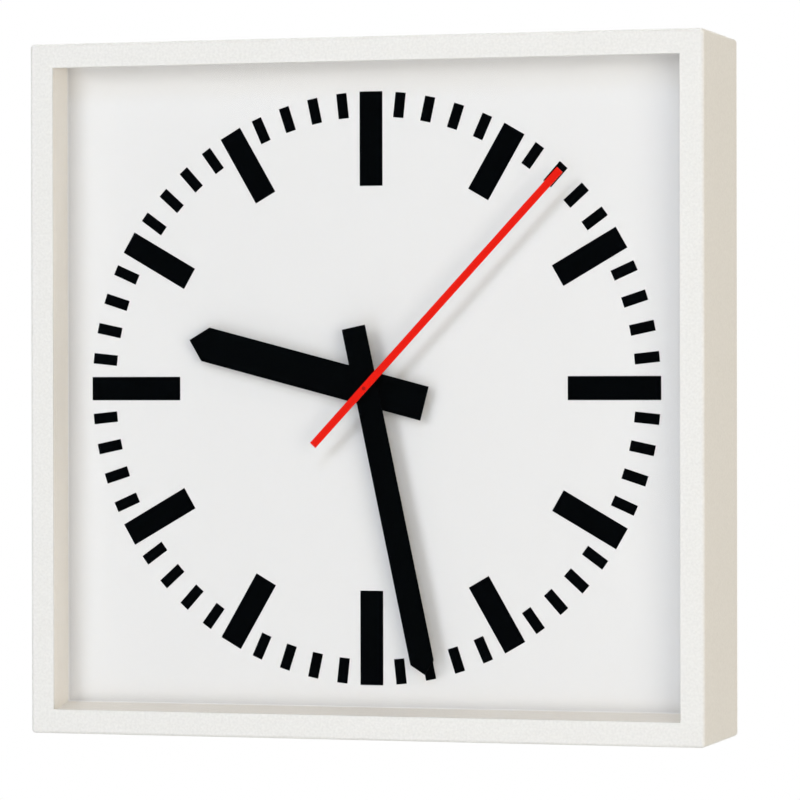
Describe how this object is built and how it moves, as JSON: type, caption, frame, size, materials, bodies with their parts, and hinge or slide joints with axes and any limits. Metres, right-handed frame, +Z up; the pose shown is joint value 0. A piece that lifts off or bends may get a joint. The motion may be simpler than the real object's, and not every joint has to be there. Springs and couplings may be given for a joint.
{
  "type": "slave clock",
  "caption": "Square wall slave clock: folded steel case, glazed front, white dial with bar marks, and hour, minute and second hands on concentric pipes turned by stepping drives.",
  "frame": {"origin": "centre of the rear cover's outer face, in the wall plane", "axes": "+X to the right as the dial is read, +Z up, +Y into the wall, so the dial faces -Y"},
  "size_m": [0.3, 0.065, 0.3],
  "materials": {
    "case_paint": "fine textured white powder coat",
    "reveal_paint": "matt off-white paint",
    "dial_white": "matt white",
    "mark_black": "matt printed black",
    "clear_glass": "clear polished",
    "hand_black": "matt black paint",
    "hand_red": "matt red paint",
    "zinc_steel": "zinc plated",
    "soft_iron": "bare laminated iron",
    "ferrite": "dull black ferrite",
    "brass": "machined",
    "copper_wire": "enamelled wire",
    "bobbin_plastic": "moulded",
    "terminal_plastic": "moulded",
    "black_rubber": "soft matt"
  },
  "bodies": {
    "case": {"case_frame": "case_paint", "glass_pane": "clear_glass", "spacer_frame": "reveal_paint", "dial_plate": "dial_white", "hour_marks": "mark_black", "minute_marks": "mark_black", "dial_clips": "zinc_steel", "cover_brackets": "zinc_steel", "rear_cover": "zinc_steel", "cover_screws": "zinc_steel", "inlet_trim": "black_rubber", "front_plate": "zinc_steel", "back_plate": "zinc_steel", "centre_bush": "brass", "dial_nut": "brass", "motion_stud": "zinc_steel", "terminal_strip": "terminal_plastic", "terminal_screws": "zinc_steel", "minute_stator": "soft_iron", "minute_coil_core": "soft_iron", "minute_coil_bobbin": "bobbin_plastic", "minute_coil_winding": "copper_wire", "second_stator": "soft_iron", "second_coil_core": "soft_iron", "second_coil_bobbin": "bobbin_plastic", "second_coil_winding": "copper_wire"},
    "minute": {"minute_hand": "hand_black", "minute_pipe": "brass", "minute_wheel": "brass"},
    "hour": {"hour_hand": "hand_black", "hour_wheel": "brass"},
    "motion": {"motion_wheel": "brass"},
    "minute_rotor": {"minute_rotor_pinion": "zinc_steel", "minute_rotor_magnet": "ferrite"},
    "second": {"second_hand": "hand_red", "second_arbor": "zinc_steel", "second_wheel": "brass"},
    "second_rotor": {"second_rotor_pinion": "zinc_steel", "second_rotor_magnet": "ferrite"}
  },
  "joints": [
    {"name": "minute_spin", "type": "hinge", "parent": "case", "child": "minute", "pos_m": [0, 0, 0], "axis": [0, 1, 0], "continuous": true},
    {"name": "hour_spin", "type": "hinge", "parent": "case", "child": "hour", "pos_m": [0, 0, 0], "axis": [0, 1, 0], "continuous": true},
    {"name": "motion_spin", "type": "hinge", "parent": "case", "child": "motion", "pos_m": [0, 0, 0.01], "axis": [0, 1, 0], "continuous": true},
    {"name": "minute_rotor_spin", "type": "hinge", "parent": "case", "child": "minute_rotor", "pos_m": [0.01504, 0, -0.00547], "axis": [0, 1, 0], "continuous": true},
    {"name": "second_spin", "type": "hinge", "parent": "case", "child": "second", "pos_m": [0, 0, 0], "axis": [0, 1, 0], "continuous": true},
    {"name": "second_rotor_spin", "type": "hinge", "parent": "case", "child": "second_rotor", "pos_m": [-0.01504, 0, -0.00547], "axis": [0, 1, 0], "continuous": true}
  ],
  "couplings": [
    {"joint": "hour_spin", "follows": "minute_spin", "ratio": 0.083333},
    {"joint": "motion_spin", "follows": "minute_spin", "ratio": -0.33333},
    {"joint": "minute_rotor_spin", "follows": "minute_spin", "ratio": -3},
    {"joint": "second_rotor_spin", "follows": "second_spin", "ratio": -3}
  ]
}
